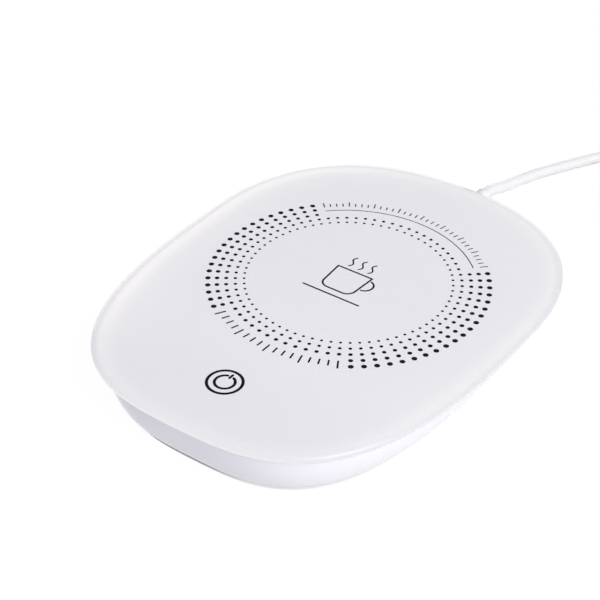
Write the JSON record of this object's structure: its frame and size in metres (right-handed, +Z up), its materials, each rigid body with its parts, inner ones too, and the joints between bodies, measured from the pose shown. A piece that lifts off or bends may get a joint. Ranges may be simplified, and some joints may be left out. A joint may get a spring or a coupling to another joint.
{
  "type": "mug warmer",
  "caption": "Electric mug warmer: egg-shaped back-printed glass plate on a low rounded housing with a heater disc, touch key, soft feet and a thin coiled lead that ends in a flat low-voltage plug",
  "frame": {"origin": "on the table, under the middle of the glass top, with the lead and its plug left out", "axes": "+Z up, +Y towards the back where the lead leaves, -Y towards the touch key, +X to the right"},
  "size_m": [0.1489, 0.2213, 0.0185],
  "materials": {
    "glass": "clear toughened glass, polished, marks printed under it",
    "enamel": "milk-white screen-printed enamel, even",
    "ink": "dark blue-black screen-printed marks under the glass",
    "foam": "closed-cell foam tape, matte",
    "housing": "white moulded ABS, polished mould",
    "base": "white moulded ABS, fine spark texture",
    "feet": "soft silicone pads, matte",
    "steel": "zinc-plated screws",
    "film": "amber polyimide film with an etched track",
    "aluminium": "rolled sheet",
    "felt": "needled felt",
    "tray": "galvanised pressed sheet",
    "can": "drawn metal can",
    "board": "green solder mask over glass-fibre laminate",
    "black_resin": "black moulded resin",
    "lens": "clear-cast lens",
    "spring": "plated spring wire",
    "red_wire": "silicone wire, satin",
    "white_wire": "silicone wire, satin",
    "black_wire": "PVC wire, satin",
    "clamp": "moulded nylon",
    "jacket": "pale grey PVC jacket, satin",
    "tie": "woven hook-and-loop strap",
    "plug": "overmoulded PVC grip, satin",
    "shell": "nickel-plated folded sheet",
    "tongue": "white moulded insulator",
    "contact": "gold-plated leaf contacts"
  },
  "bodies": {
    "root": {"glass_plate": "glass", "enamel_backing": "enamel", "plate_seal": "foam", "upper_housing": "housing", "base_cover": "base", "feet": "feet", "base_screws": "steel", "heating_film": "film", "heat_spreader": "aluminium", "insulation_pad": "felt", "heater_tray": "tray", "tray_screws": "steel", "thermistor": "can", "thermal_fuse": "can", "circuit_board": "board", "control_chip": "black_resin", "power_transistor": "black_resin", "smoothing_capacitor": "can", "chip_resistors": "black_resin", "indicator_led": "lens", "board_screws": "steel", "touch_spring": "spring", "heater_leads": "red_wire", "sensor_leads": "white_wire", "supply_leads": "black_wire", "cord_tail": "jacket", "cord_clamp": "clamp", "clamp_screws": "steel", "strain_relief": "jacket", "cord": "jacket", "cord_coil": "jacket", "cord_tie": "tie", "plug_body": "plug", "plug_shell": "shell", "plug_tongue": "tongue", "plug_contacts": "contact"}
  },
  "joints": []
}
